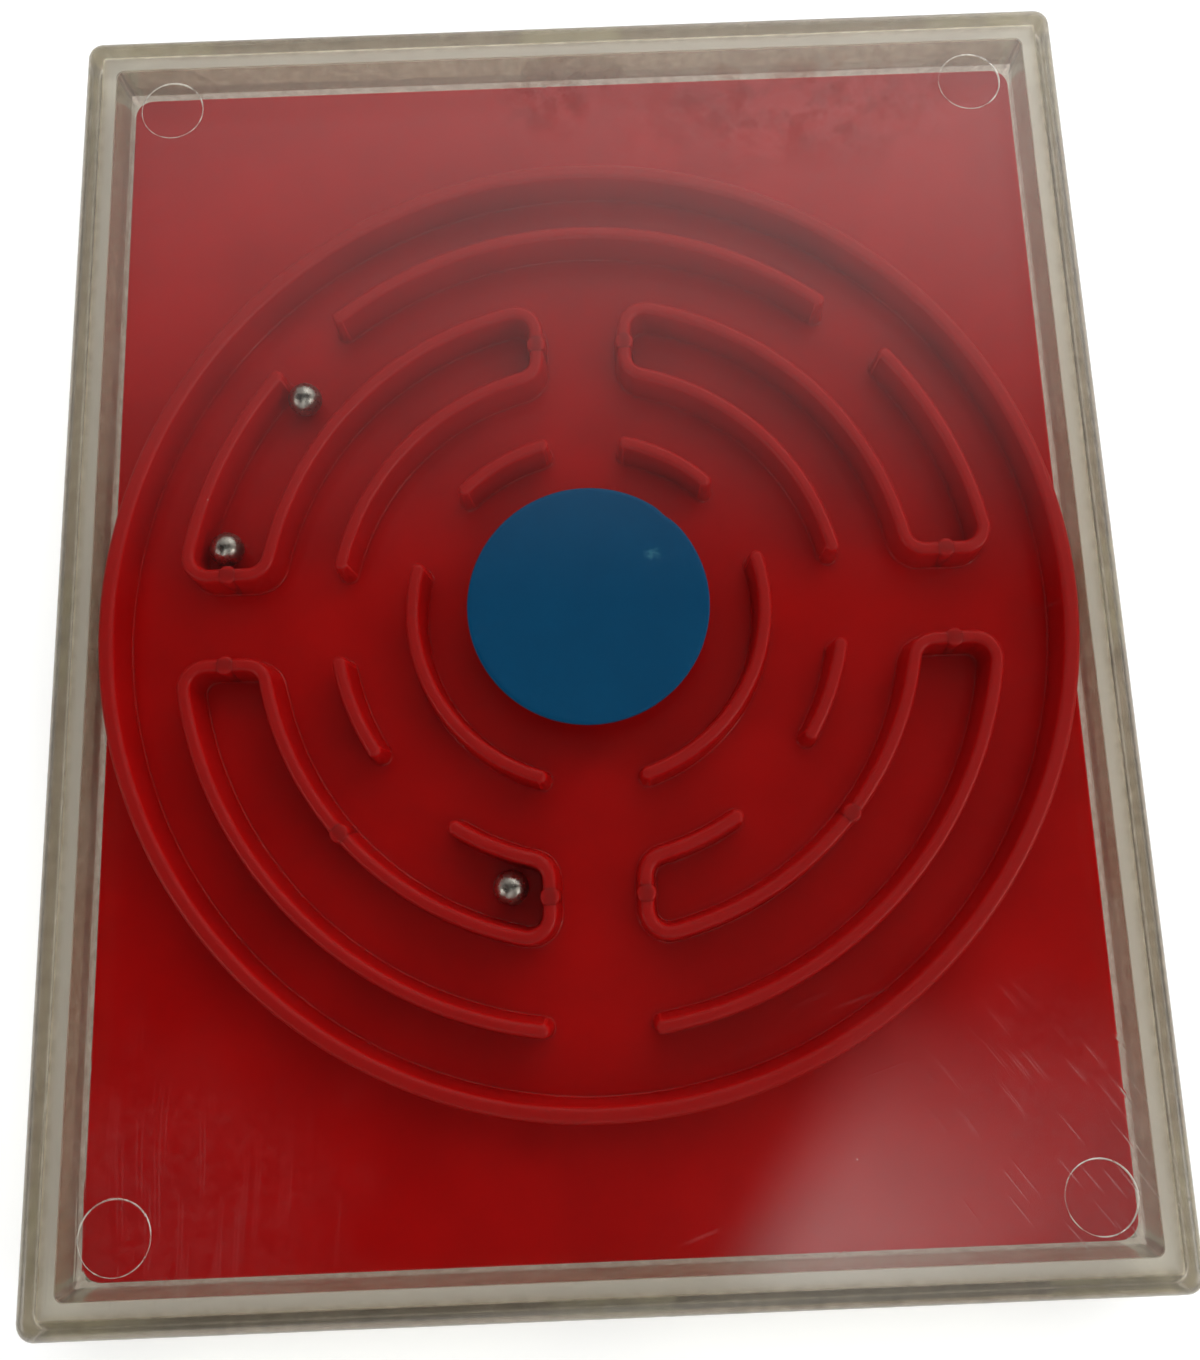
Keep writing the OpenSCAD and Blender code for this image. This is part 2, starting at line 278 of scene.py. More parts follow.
def makeRed(look):
    material, tree = newMaterial("redMoulding")
    place = millimetres(tree)
    mottle = mottleNode(tree, place, look["mottle"])
    grain = mottleNode(tree, place, look["grain"])
    height = splitNode(tree, place)[2]
    top = rampNode(tree, height, *[look["wallTop"] - d for d in look["topBand"]])
    # painted shade: the tops of the walls are darkened, broken up by the grain
    shadedTop = mathNode(tree, "MULTIPLY", top, between(tree, grain, *look["grainOnShadedTop"]))
    colour = blendColours(tree, mottle, look["deep"], look["bright"])
    colour = blendColours(tree, shadedTop, colour, look["shadedTop"])
    colour = blendColours(tree, specksNode(tree, place, look["specks"]), colour, look["speck"])
    wall = rampNode(tree, height, *[look["wallFoot"] + d for d in look["footBand"]])
    wall = mathNode(tree, "MULTIPLY", wall, between(tree, grain, *look["grainOnGloss"]))
    shader = addNode(tree, "ShaderNodeBsdfPrincipled", {
        "Base Color": colour, "Roughness": between(tree, wall, *look["gloss"]),
        "IOR": 1.5, "Specular IOR Level": 0.25,
        "Subsurface Weight": 0.5, "Subsurface Radius": look["spread"],
        "Subsurface Scale": look["spreadScale"] * mm,
        "Normal": bumpNode(tree, mottle, *look["relief"])})
    return finishMaterial(material, tree, shader)


lidLook = {
    "tint": (0.86, 0.855, 0.83, 1),
    "edgeTint": (0.80, 0.75, 0.64, 1),    # skirt, where handling has left it dull
    "edgeDull": (0.55, 0.50, 0.40, 1),
    "stain": (0.64, 0.41, 0.35, 1),
    "shadowTint": (0.90, 0.90, 0.86, 1),
    "ior": 1.5,
    "gloss": (0.015, 0.045), "edgeGloss": 0.22, "hazeGloss": 0.5,
    "inside": (45.6, 56.9),               # mm from the middle to where the dull edge starts
    "scratches": (                        # angle, spacing, length and width in mm, share
        (0.03, 0.8, 11.0, 0.11, 0.7), (-0.62, 1.1, 4.2, 0.10, 0.4), (1.2, 6.0, 7.0, 0.06, 0.3)),
    "lineGain": 2.4, "strayGain": 0.15,
    "scuffs": (                           # middle and reach in mm, strength
        ((-38, -52, 8), (22, 20, 9), 0.3), ((40, -48, 8), (22, 18, 9), 0.3)),
    "stains": (((22, 49, 8), (23, 8, 9)), ((-2, 51, 8), (8, 5, 9))),    # middle and reach in mm
    "scuffRagged": 0.9, "stainRagged": 0.6,
    "mottle": (14.0, 5.0), "wear": (1.1, 7.0),
    "blots": (2.6, 6.0), "blotRange": (0.40, 0.84, 0.0, 0.95),
    "dust": (0.9, 6.0), "dustRange": (0.2, 1.0, 0.35, 1.0), "edgeHaze": 0.5,
    "relief": (0.5, 0.02),
}


def outsideOf(tree, place, inside):
    fadeWidth = 0.9                       # mm
    x, y, _ = splitNode(tree, place)
    dx = mathNode(tree, "SUBTRACT", mathNode(tree, "ABSOLUTE", x), inside[0])
    dy = mathNode(tree, "SUBTRACT", mathNode(tree, "ABSOLUTE", y), inside[1])
    return rampNode(tree, mathNode(tree, "MAXIMUM", dx, dy), 0.0, fadeWidth)


def finishClear(material, tree, shader, tint):
    passing = addNode(tree, "ShaderNodeBsdfTransparent", {"Color": tint})
    rays = addNode(tree, "ShaderNodeLightPath").outputs
    through = mathNode(tree, "MAXIMUM", rays["Is Shadow Ray"], rays["Is Diffuse Ray"])
    mixed = addNode(tree, "ShaderNodeMixShader", {0: through, 1: shader.outputs[0], 2: passing.outputs[0]})
    return finishMaterial(material, tree, mixed)


def makeLidClear(look):
    material, tree = newMaterial("lidClear")
    place = millimetres(tree)
    names = ("Angle", "Spacing", "Length", "Width", "Share")
    upright, slanted, stray = [
        fillGroup(tree, hairScratches, Place=place, **dict(zip(names, row))) for row in look["scratches"]]
    scuffs = [
        mathNode(tree, "MULTIPLY", patchNode(tree, place, middle, reach, look["scuffRagged"]), strength)
        for middle, reach, strength in look["scuffs"]]
    lines = mathNode(tree, "MAXIMUM", mathNode(tree, "MULTIPLY", upright, scuffs[0]),
                     mathNode(tree, "MULTIPLY", slanted, scuffs[1]))
    lines = mathNode(tree, "MAXIMUM", mathNode(tree, "MULTIPLY", lines, look["lineGain"]),
                     mathNode(tree, "MULTIPLY", stray, look["strayGain"]), clamp=True)
    edge = outsideOf(tree, place, look["inside"])
    blots = rampNode(tree, mottleNode(tree, place, look["blots"]), *look["blotRange"])
    stains = [patchNode(tree, place, middle, reach, look["stainRagged"]) for middle, reach in look["stains"]]
    stain = mathNode(tree, "MULTIPLY", mathNode(tree, "MAXIMUM", *stains), blots)
    wear = mottleNode(tree, place, look["wear"])
    colour = blendColours(tree, edge, look["tint"],
                          blendColours(tree, wear, look["edgeTint"], look["edgeDull"]))
    colour = blendColours(tree, stain, colour, look["stain"])
    mottle = mottleNode(tree, place, look["mottle"])
    rough = mathNode(tree, "MAXIMUM", between(tree, mottle, *look["gloss"]),
                     mathNode(tree, "MULTIPLY", edge, look["edgeGloss"]))
    dust = rampNode(tree, mottleNode(tree, place, look["dust"]), *look["dustRange"])
    haze = mathNode(tree, "MULTIPLY", mathNode(tree, "MAXIMUM", *scuffs), dust)
    haze = mathNode(tree, "MAXIMUM", haze, mathNode(tree, "MULTIPLY", edge, look["edgeHaze"]))
    shader = addNode(tree, "ShaderNodeBsdfPrincipled", {
        "Base Color": colour, "Roughness": rough, "IOR": look["ior"], "Transmission Weight": 1.0,
        "Coat Weight": mathNode(tree, "ADD", haze, lines, clamp=True),
        "Coat Roughness": look["hazeGloss"], "Normal": bumpNode(tree, lines, *look["relief"])})
    return finishClear(material, tree, shader, look["shadowTint"])


trayLook = {
    "tint": (0.82, 0.80, 0.74, 1), "dull": (0.74, 0.70, 0.62, 1),
    "edgeTint": (0.60, 0.54, 0.47, 1), "edgeDull": (0.40, 0.34, 0.28, 1),
    "rimTint": (0.86, 0.84, 0.78, 1),
    "shadowTint": (0.90, 0.90, 0.86, 1),
    "ior": 1.5, "clear": 0.88,
    "gloss": (0.10, 0.24), "speckGloss": 0.5, "rimGloss": 0.4,
    "inside": (44.4, 55.6),               # mm from the middle to the wall
    "rim": 7.975, "rimBand": (0.4, 0.1),  # height of the rim, and mm below it
    "mottle": (6.0, 5.0), "wear": (0.9, 7.0),
    "specks": (4.0, 0.2, 0.3),            # spacing and size in mm, share
    "relief": (0.06, 0.05),
}


def makeTrayClear(look):
    material, tree = newMaterial("trayClear")
    place = millimetres(tree)
    mottle = mottleNode(tree, place, look["mottle"])
    specks = specksNode(tree, place, look["specks"])
    rim = rampNode(tree, splitNode(tree, place)[2], *[look["rim"] - d for d in look["rimBand"]])
    wear = mottleNode(tree, place, look["wear"])
    edgeColour = blendColours(tree, wear, look["edgeTint"], look["edgeDull"])
    colour = blendColours(tree, mottle, look["tint"], look["dull"])
    colour = blendColours(tree, outsideOf(tree, place, look["inside"]), colour, edgeColour)
    colour = blendColours(tree, rim, colour, look["rimTint"])
    rough = mathNode(tree, "MAXIMUM", between(tree, mottle, *look["gloss"]),
                     mathNode(tree, "MULTIPLY", specks, look["speckGloss"]))
    rough = mathNode(tree, "MAXIMUM", rough, mathNode(tree, "MULTIPLY", rim, look["rimGloss"]))
    shader = addNode(tree, "ShaderNodeBsdfPrincipled", {
        "Base Color": colour, "Roughness": rough, "IOR": look["ior"],
        "Transmission Weight": look["clear"], "Normal": bumpNode(tree, mottle, *look["relief"])})
    return finishClear(material, tree, shader, look["shadowTint"])


steelLook = {
    "bright": (0.54, 0.52, 0.48, 1), "dull": (0.40, 0.38, 0.35, 1),
    "gloss": (0.24, 0.36), "mottle": (0.7, 4.0),
}


def makeSteel(look):
    material, tree = newMaterial("polishedSteel")
    mottle = mottleNode(tree, millimetres(tree), look["mottle"])
    shader = addNode(tree, "ShaderNodeBsdfPrincipled", {
        "Base Color": blendColours(tree, mottle, look["bright"], look["dull"]),
        "Roughness": between(tree, mottle, *look["gloss"]), "Metallic": 1.0})
    return finishMaterial(material, tree, shader)


discLook = {
    "deep": (0.0002, 0.060, 0.166, 1), "pale": (0.0005, 0.070, 0.188, 1), "blisterHighlight": (0.03, 0.15, 0.26, 1),
    "highlightPatch": ((6.0, 4.5, 8.0), (1.1, 0.8, 2.0), 0.8),    # painted highlight over the blister: middle and reach in mm, raggedness
    "gloss": (0.30, 0.40), "mottle": (5.0, 5.0), "grain": (0.4, 2.0), "relief": (0.05, 0.02),
}


def makeBlue(look):
    material, tree = newMaterial("blueSheet")
    place = millimetres(tree)
    mottle = mottleNode(tree, place, look["mottle"])
    grain = mottleNode(tree, place, look["grain"])
    highlightPatch = patchNode(tree, place, *look["highlightPatch"])
    colour = blendColours(tree, mathNode(tree, "MULTIPLY", mottle, grain), look["deep"], look["pale"])
    # painted highlight: a lighter patch over the blister
    colour = blendColours(tree, mathNode(tree, "MULTIPLY", highlightPatch, grain), colour, look["blisterHighlight"])
    shader = addNode(tree, "ShaderNodeBsdfPrincipled", {
        "Base Color": colour, "Roughness": between(tree, grain, *look["gloss"]),
        "IOR": 1.5, "Specular IOR Level": 0.1, "Normal": bumpNode(tree, grain, *look["relief"])})
    return finishMaterial(material, tree, shader)


cementLook = {
    "first": (0.86, 0.83, 0.68, 1), "second": (0.72, 0.66, 0.48, 1),
    "gloss": (0.35, 0.6), "cover": (0.10, 0.34), "mottle": (2.2, 4.0),
}
witnessLook = {
    "first": (0.70, 0.62, 0.58, 1), "second": (0.86, 0.80, 0.76, 1),
    "gloss": (0.25, 0.5), "cover": (0.22, 0.78), "mottle": (1.8, 3.0),
}


def makeFilm(name, look):
    material, tree = newMaterial(name)
    mottle = mottleNode(tree, millimetres(tree), look["mottle"])
    shader = addNode(tree, "ShaderNodeBsdfPrincipled", {
        "Base Color": blendColours(tree, mottle, look["first"], look["second"]),
        "Roughness": between(tree, mottle, *look["gloss"]),
        "Alpha": between(tree, mottle, *look["cover"])})
    return finishMaterial(material, tree, shader)


witnessClear = makeFilm("witnessClear", witnessLook)
redMoulding = makeRed(redLook)
lidClear = makeLidClear(lidLook)
trayClear = makeTrayClear(trayLook)
polishedSteel = makeSteel(steelLook)
blueSheet = makeBlue(discLook)
driedCement = makeFilm("driedCement", cementLook)
print("materials built")


# mesh helpers, all in millimetres

class MeshBits:
    def __init__(self):
        self.points, self.faces = [], []

    def addRings(self, rings, closed=False):
        base, count = len(self.points), len(rings[0])
        for ring in rings:
            self.points += ring
        for low in range(len(rings) - (0 if closed else 1)):
            a, b = base + low * count, base + (low + 1) % len(rings) * count
            for i in range(count):
                j = (i + 1) % count
                self.faces.append((a + i, a + j, b + j, b + i))
        return base, count

    def addCapped(self, rings):
        base, count = self.addRings(rings)
        last = base + (len(rings) - 1) * count
        self.faces.append(tuple(range(base, base + count))[::-1])
        self.faces.append(tuple(range(last, last + count)))


def makePiece(name, bits, material, body, replaced):
    mesh = bpy.data.meshes.new(name)
    mesh.from_pydata([Vector(p) * mm for p in bits.points], [], bits.faces)
    mesh.validate()
    shell = bmesh.new()
    shell.from_mesh(mesh)
    bmesh.ops.recalc_face_normals(shell, faces=shell.faces)
    shell.to_mesh(mesh)
    shell.free()
    for face in mesh.polygons:
        face.use_smooth = True
    piece = bpy.data.objects.new(name, mesh)
    scene.collection.objects.link(piece)
    mesh.materials.append(material)
    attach(piece, body)
    if replaced:
        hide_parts(*replaced)


def arcPoints(centre, radius, start, end, step):
    count = max(2, math.ceil(abs(math.radians(end - start)) * radius / step))
    angles = [math.radians(start + (end - start) * i / count) for i in range(count + 1)]
    return [(centre[0] + radius * math.cos(a), centre[1] + radius * math.sin(a)) for a in angles]


def circleAngles(count):
    return [math.tau * k / count for k in range(count)]


def cleanPath(points, nearest=0.02):
    kept = [points[0]]
    for p in points[1:]:
        if math.dist(p, kept[-1]) > nearest:
            kept.append(p)
    return kept


def pathFrames(path):
    frames = []
    for i, p in enumerate(path):
        a, b = path[max(i - 1, 0)], path[min(i + 1, len(path) - 1)]
        d = math.dist(a, b)
        t = ((b[0] - a[0]) / d, (b[1] - a[1]) / d)
        frames.append((p, t, (-t[1], t[0])))
    return frames


def roundedOutline(width, length, radius, steps=8):
    outline = []
    for sx, sy, first in ((1, 1, 0), (-1, 1, 90), (-1, -1, 180), (1, -1, 270)):
        cx, cy = sx * (width / 2 - radius), sy * (length / 2 - radius)
        for k in range(steps + 1):
            a = math.radians(first + 90 * k / steps)
            outline.append((cx + radius * math.cos(a), cy + radius * math.sin(a)))
    return outline


# maze moulding: plate and walls with rounded edges, after the sizes of the CAD part

maze = {
    "floor": 1.5, "plateTop": 3.3,        # heights of the tray floor and of the plate
    "plate": (90.0, 112.4, 1.8), "plateEdge": 0.25,    # width, length and corner, and the edge's rounding
    "plateGap": 0.03, "plateChamfer": 0.15, "plateFlat": 0.25,    # over the tray, underneath, inside the edge
    "wallHeight": 4.175, "topHalf": 0.6, "ringTopHalf": 0.7, "draft": 3.0,    # draft in degrees
    "rings": (43.881, 37.281, 29.881, 23.131, 16.081),    # radii to the middle of the walls
    "corridor": 4.2, "bend": 2.0,         # half the cross corridor, and radius of the bends
    "topRound": 0.46, "topFlat": 0.1, "endRound": 0.56, "endLeast": 0.03,
    "footFillet": 0.22, "skirt": 0.2,     # the skirt is hidden under the plate's surface
    "ringFillet": 0.15, "ringSkirt": 0.02,    # outside the outer ring, beside the plate's edge
    "skirtDrop": 0.02, "root": 0.12,      # how deep the skirt and the walls run into the plate
    "pad": 0.86, "padStep": 0.04, "ring3Pad": 41,    # radius, step over the wall, degrees around ring 3
    "padEdge": ((0.0, 0.24), (0.05, 0.11), (0.16, 0.03), (0.32, 0.0)),    # in from the side, below the top
    "padTurns": 40, "ringTurns": 240,
    "bendStep": 0.25, "ringStep": 0.7, "arcStep": 0.6,
    "arcs": (                             # name, node, then ring, start and end in degrees
        ("topArc", "top_arc_wall", ((2, 51, 129),)),
        ("shortArcs", "short_arc_walls", ((4, -34, -9.5), (4, 189.5, 214))),
        ("goalRing", "goal_ring_walls",
         ((5, 44, 78), (5, 102, 136), (5, -74.7, 16.7), (5, 163.3, 254.7))),
    ),
    "quarters": (                         # name, node, sides in x and y, ends on rings 2 and 4 in degrees
        ("upperRightWall", "upper_right_wall", 1, 1, 40, 10.7),
        ("upperLeftWall", "upper_left_wall", -1, 1, 40, 10.7),
        ("lowerRightWall", "lower_right_wall", 1, -1, 83, 56),
        ("lowerLeftWall", "lower_left_wall", -1, -1, 83, 56),
    ),
}


def wallProfile(topHalf, fillet, skirt, steps=5):
    h, r = maze["wallHeight"], maze["topRound"]
    lean = math.tan(math.radians(maze["draft"]))

    def half(z):
        return topHalf + (h - z) * lean

    foot = half(fillet) + fillet
    out = [(foot + skirt, -maze["root"]), (foot + skirt, -maze["skirtDrop"])]
    for k in range(steps + 1):
        a = math.radians(-90 - 90 * k / steps)
        out.append((foot + fillet * math.cos(a), fillet + fillet * math.sin(a)))
    out.append((half(h * 0.5), h * 0.5))
    for k in range(steps + 1):
        a = math.radians(90 * k / steps)
        out.append((half(h - r) - r + r * math.cos(a), h - r + r * math.sin(a)))
    out.append((half(h - r) - r - maze["topFlat"], h))
    return out


def endCap(tip, t, n, w, topHalf, steps=4):
    corner = max(maze["endLeast"], min(maze["endRound"] + w - topHalf, w))
    ahead = w - topHalf - corner
    angles = [math.radians(90 * k / steps) for k in range(steps + 1)]
    places = [(w - corner + corner * math.cos(a), ahead + corner * math.sin(a)) for a in angles]
    places += [(-(w - corner) - corner * math.sin(a), ahead + corner * math.cos(a)) for a in angles]
    return [(tip[0] + n[0] * u + t[0] * v, tip[1] + n[1] * u + t[1] * v) for u, v in places]


def trimPath(path, cut):
    for _ in range(2):                    # from each end in turn
        left = cut
        while math.dist(path[0], path[1]) < left:
            left -= math.dist(path[0], path[1])
            path = path[1:]
        d = math.dist(path[0], path[1])
        path = [tuple(path[0][i] + (path[1][i] - path[0][i]) * left / d for i in (0, 1))] + path[1:]
        path = path[::-1]
    return path


def addWall(bits, path):
    topHalf, e = maze["topHalf"], maze["endRound"]
    frames = pathFrames(cleanPath(trimPath(path, e)))
    (first, t0, n0), (last, t1, n1) = frames[0], frames[-1]
    tipEnd = (last[0] + t1[0] * e, last[1] + t1[1] * e)
    tipStart = (first[0] - t0[0] * e, first[1] - t0[1] * e)
    rings = []
    for w, z in wallProfile(topHalf, maze["footFillet"], maze["skirt"]):
        left = [(p[0] + n[0] * w, p[1] + n[1] * w) for p, _, n in frames]
        right = [(p[0] - n[0] * w, p[1] - n[1] * w) for p, _, n in reversed(frames)]
        ring = left + endCap(tipEnd, t1, n1, w, topHalf)
        ring += right + endCap(tipStart, (-t0[0], -t0[1]), (-n0[0], -n0[1]), w, topHalf)
        rings.append([(x, y, z + maze["plateTop"]) for x, y in ring[::-1]])
    base, count = bits.addRings(rings)
    total, cap = len(frames), count // 2 - len(frames)
    for level, flip in ((0, True), (len(rings) - 1, False)):
        order = [base + level * count + i for i in range(count)][::-1]    # back to the drawing order
        leftSide, capEnd = order[:total], order[total:total + cap]
        rightSide = order[total + cap:2 * total + cap][::-1]
        capStart = order[2 * total + cap:]
        patches = [(leftSide[i], rightSide[i], rightSide[i + 1], leftSide[i + 1]) for i in range(total - 1)]
        patches.append(tuple([leftSide[-1], rightSide[-1]] + capEnd[::-1]))
        patches.append(tuple([rightSide[0], leftSide[0]] + capStart[::-1]))
        bits.faces += [p[::-1] for p in patches] if flip else patches


def addPad(bits, x, y):
    r, top = maze["pad"], maze["wallHeight"] + maze["padStep"]
    outline = [(r, -maze["root"])] + [(r - inset, top - drop) for inset, drop in maze["padEdge"]]
    angles = circleAngles(maze["padTurns"])
    bits.addCapped([[(x + w * math.cos(a), y + w * math.sin(a), z + maze["plateTop"]) for a in angles]
                    for w, z in outline])


def bendPlaces(ring, outside):
    reach = maze["rings"][ring - 1] + (maze["bend"] if outside else -maze["bend"])
    y = maze["corridor"] + maze["bend"]
    x = math.sqrt(reach ** 2 - y ** 2)
    return x, math.degrees(math.atan2(y, x))


def quarterPath(ring2End, ring4End, straight=8):
    r2, r3, r4 = maze["rings"][1:4]
    b, c = maze["bend"], maze["corridor"]
    y, fine, coarse = b + c, maze["bendStep"], maze["ringStep"]
    x2, a2 = bendPlaces(2, False)
    x3in, a3in = bendPlaces(3, True)
    x3, a3 = bendPlaces(3, False)
    x4in, a4in = bendPlaces(4, True)
    path = arcPoints((0, 0), r2, ring2End, a2, coarse)
    path += arcPoints((x2, y), b, a2, -90, fine)
    path += [(x2 + (x3in - x2) * k / straight, c) for k in range(1, straight)]
    path += arcPoints((x3in, y), b, 270, 180 + a3in, fine)
    path += arcPoints((0, 0), r3, a3in, 90 - a3, coarse)
    path += arcPoints((y, x3), b, 90 - a3, 180, fine)
    path += [(c, x3 + (x4in - x3) * k / straight) for k in range(1, straight)]
    path += arcPoints((y, x4in), b, 180, 270 - a4in, fine)
    path += arcPoints((0, 0), r4, 90 - a4in, ring4End, coarse)
    pads = [((x2 + x3in) / 2, c), (c, (x3 + x4in) / 2)]
    return path, pads


def buildQuarter(name, node, sx, sy, ring2End, ring4End):
    bits = MeshBits()
    path, pads = quarterPath(ring2End, ring4End)
    if sy < 0:                            # the lower walls have a pad on ring 3 too
        a = math.radians(maze["ring3Pad"])
        pads.append((maze["rings"][2] * math.cos(a), maze["rings"][2] * math.sin(a)))
    addWall(bits, [(x * sx, y * sy) for x, y in path])
    for x, y in pads:
        addPad(bits, x * sx, y * sy)
    makePiece(name, bits, redMoulding, "case", [node])


def buildArcs(name, node, arcs):
    bits = MeshBits()
    for ring, start, end in arcs:
        addWall(bits, arcPoints((0, 0), maze["rings"][ring - 1], start, end, maze["arcStep"]))
    makePiece(name, bits, redMoulding, "case", [node])


def buildOuterRing():
    bits = MeshBits()
    outer = wallProfile(maze["ringTopHalf"], maze["ringFillet"], maze["ringSkirt"])
    inner = wallProfile(maze["ringTopHalf"], maze["footFillet"], maze["skirt"])
    radius = maze["rings"][0]
    section = [(radius + w, z) for w, z in outer] + [(radius - w, z) for w, z in inner[::-1]]
    rings = [[(r * math.cos(a), r * math.sin(a), z + maze["plateTop"]) for r, z in section]
             for a in circleAngles(maze["ringTurns"])]
    bits.addRings(rings, closed=True)
    makePiece("outerRing", bits, redMoulding, "case", ["outer_ring_wall"])


def buildPlate(steps=5):
    bits = MeshBits()
    width, length, corner = maze["plate"]
    e, chamfer = maze["plateEdge"], maze["plateChamfer"]
    low, top = maze["floor"] + maze["plateGap"], maze["plateTop"]
    levels = [(chamfer, low), (0.0, low + chamfer), (0.0, top - e)]
    for k in range(1, steps + 1):
        a = math.radians(90 / steps * k)
        levels.append((e - e * math.cos(a), top - e + e * math.sin(a)))
    levels.append((e + maze["plateFlat"], top))
    bits.addCapped([
        [(x, y, z) for x, y in roundedOutline(width - 2 * d, length - 2 * d, corner - d)] for d, z in levels])
    makePiece("mazePlate", bits, redMoulding, "case", ["maze_plate"])


buildPlate()
buildOuterRing()
for row in maze["arcs"]:
    buildArcs(*row)
for row in maze["quarters"]:
    buildQuarter(*row)
print("maze moulding built")


# goal disc: punched sheet under the lid, with a nick in its edge and a small blister

disc = {
    "radius": 11.0, "top": 8.075, "thick": 0.4, "gap": 0.03,
    "edges": (0.08, 0.06),                # rounding below and above
    "nick": (48, 0.14, 4.0),              # degrees around, depth in mm, half width in degrees
    "blister": (6.0, 4.5, 0.9, 0.1),      # x, y, radius and depth in mm
    "turns": 160,
    "shares": (0.04, 0.12, 0.2, 0.28, 0.36, 0.42, 0.46, 0.5, 0.54,    # of the radius, closer at the blister
               0.58, 0.62, 0.66, 0.7, 0.74, 0.8, 0.88, 0.96),
}


def buildDisc(setup):
    bits = MeshBits()
    high, low = setup["top"] - setup["gap"], setup["top"] - setup["thick"]
    lowEdge, highEdge = setup["edges"]
    at, deep, half = setup["nick"]
    bx, by, br, bd = setup["blister"]
    angles = circleAngles(setup["turns"])

    def edge(a):
        off = (math.degrees(a) - at) / half
        return setup["radius"] - deep * math.exp(-off * off)

    def circle(share, inset=0.0):
        return [((share * edge(a) - inset) * math.cos(a), (share * edge(a) - inset) * math.sin(a))
                for a in angles]

    def dent(x, y):
        d = math.dist((x, y), (bx, by)) / br
        return bd * math.exp(-d * d * 2)

    rings = [[(x, y, low) for x, y in circle(share)] for share in setup["shares"]]
    rings.append([(x, y, low + lowEdge) for x, y in circle(1)])
    rings.append([(x, y, high - highEdge) for x, y in circle(1)])
    rings.append([(x, y, high) for x, y in circle(1, highEdge)])
    rings += [[(x, y, high - dent(x, y)) for x, y in circle(share)] for share in setup["shares"][::-1]]
    bits.addCapped(rings)
    makePiece("goalDisc", bits, blueSheet, "case", ["goal_disc"])


buildDisc(disc)
print("goal disc built")


# witness rings: the thin raised edge that an ejector pin leaves on the lid's underside

witness = {
    "places": ((39.45, 51.65), (-39.45, 51.65), (-40.45, -51.65), (40.45, -51.65)),
    "radius": 3.0, "width": 0.12, "drop": 0.1, "underside": 8.075, "buried": 0.01, "turns": 96,
    "swell": (0.72, 0.28, 0.12),          # mean share of the size, slow change and unevenness
    "flare": 1.3, "shoulder": 0.6,        # width at the lid, and drop at the width
}


def buildWitnessRings(setup):
    bits = MeshBits()
    rng = random.Random(4)
    mean, slow, uneven = setup["swell"]
    base = setup["underside"] + setup["buried"]
    for cx, cy in setup["places"]:
        phase = rng.uniform(0, math.tau)
        rings = []
        for a in circleAngles(setup["turns"]):
            swell = mean + slow * math.sin(a + phase) + rng.uniform(-uneven, uneven)
            w, d = setup["width"] * swell / 2, setup["drop"] * swell
            wide, side = w * setup["flare"], base - d * setup["shoulder"]
            section = [(-wide, base), (-w, side), (0, base - d), (w, side), (wide, base)]
            rings.append([(cx + (setup["radius"] + r) * math.cos(a),
                           cy + (setup["radius"] + r) * math.sin(a), z) for r, z in section])
        bits.addRings(rings, closed=True)
    makePiece("witnessRings", bits, witnessClear, "case", None)


buildWitnessRings(witness)
print("witness rings built")


# cement: thin dried film in the seam, crept up the lap joint

cement = {
    "tray": (92.9, 115.3, 0.3),           # outside of the tray wall: width, length, corner
    "seam": (3.012, 3.138), "seamReach": 1.42,    # heights, and how far out it goes
    "film": (0.012, 0.088), "creep": 3.9,    # distances from the tray wall, and height above the seam
    "sideLength": 10.5, "cornerLength": 10.0,
    "sideSteps": 30, "armSteps": 16, "cornerSteps": 8,
    "thinEnd": (3, 0.35),                 # steps over which an end thins, and its least share
    "wobble": (0.7, 0.12),                # share kept from step to step, and the change at each
    "creepShare": (0.9, 0.5), "reachShare": (0.9, 0.1),    # share of the full size, and the part that varies
}


def sidePath(setup, way):
    width, length, _ = setup["tray"]
    half, count = setup["sideLength"] / 2, setup["sideSteps"]
    steps = [-half + 2 * half * k / count for k in range(count + 1)]
    if way in ("east", "west"):
        sign = 1 if way == "east" else -1
        return [((sign * width / 2, s * sign), (sign, 0)) for s in steps]
    sign = 1 if way == "north" else -1
    return [((-s * sign, sign * length / 2), (0, sign)) for s in steps]


def cornerPath(setup, first):
    width, length, r = setup["tray"]
    sx, sy = {0: (1, 1), 90: (-1, 1), 180: (-1, -1), 270: (1, -1)}[first]
    cx, cy = sx * (width / 2 - r), sy * (length / 2 - r)
    n0 = (math.cos(math.radians(first)), math.sin(math.radians(first)))
    n1 = (math.cos(math.radians(first + 90)), math.sin(math.radians(first + 90)))
    arm, count, bends = setup["cornerLength"] - r, setup["armSteps"], setup["cornerSteps"]
    path = []
    for k in range(count):
        back = arm * (1 - k / count)
        path.append(((cx + n0[0] * r - n1[0] * back, cy + n0[1] * r - n1[1] * back), n0))
    for k in range(bends + 1):
        a = math.radians(first + 90 * k / bends)
        n = (math.cos(a), math.sin(a))
        path.append(((cx + n[0] * r, cy + n[1] * r), n))
    for k in range(1, count + 1):
        on = arm * k / count
        path.append(((cx + n1[0] * r - n0[0] * on, cy + n1[1] * r - n0[1] * on), n1))
    return path


